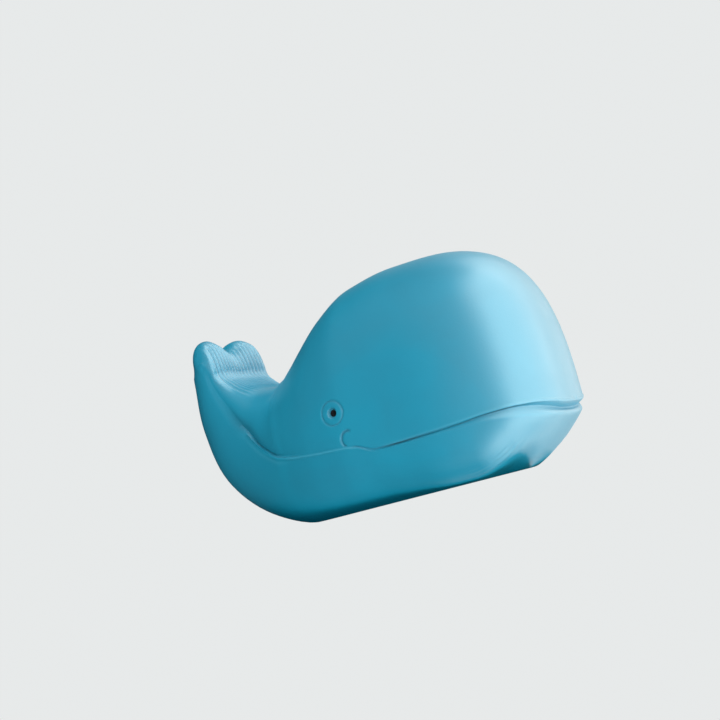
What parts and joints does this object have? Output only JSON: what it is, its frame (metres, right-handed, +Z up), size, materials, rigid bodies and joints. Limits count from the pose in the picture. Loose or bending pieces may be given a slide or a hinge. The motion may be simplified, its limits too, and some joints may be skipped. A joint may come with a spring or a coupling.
{
  "type": "squeaky bath toy",
  "caption": "Hollow rubber whale bath toy with upturned tail flukes, standing on a flat belly that holds a pressed-in reed squeaker.",
  "frame": {"origin": "middle of the bounding box's underside, on the plane of the flat belly", "axes": "+X towards the snout, +Y towards the whale's left, +Z up"},
  "size_m": [0.126, 0.072, 0.073],
  "materials": {
    "skin_rubber": "matte natural rubber, dyed blue",
    "pupil_ink": "cured black ink, satin",
    "cup_plastic": "moulded, natural white",
    "cap_plastic": "moulded, natural white",
    "block_plastic": "moulded, cream",
    "reed_film": "polyester film, satin",
    "wedge_plastic": "moulded, grey"
  },
  "bodies": {
    "whale": {"whale_body": "skin_rubber", "pupil_left": "pupil_ink", "pupil_right": "pupil_ink", "squeaker_cup": "cup_plastic", "squeaker_cap": "cap_plastic", "reed_block": "block_plastic", "reed_wedge": "wedge_plastic"},
    "reed": {"reed": "reed_film"}
  },
  "joints": [
    {"name": "reed_flex", "type": "hinge", "parent": "whale", "child": "reed", "pos_m": [0.004, 0, 0.00457], "axis": [1, 0, 0], "range_deg": [-4, 2.5], "stiffness_Nm_per_rad": 0.01}
  ]
}
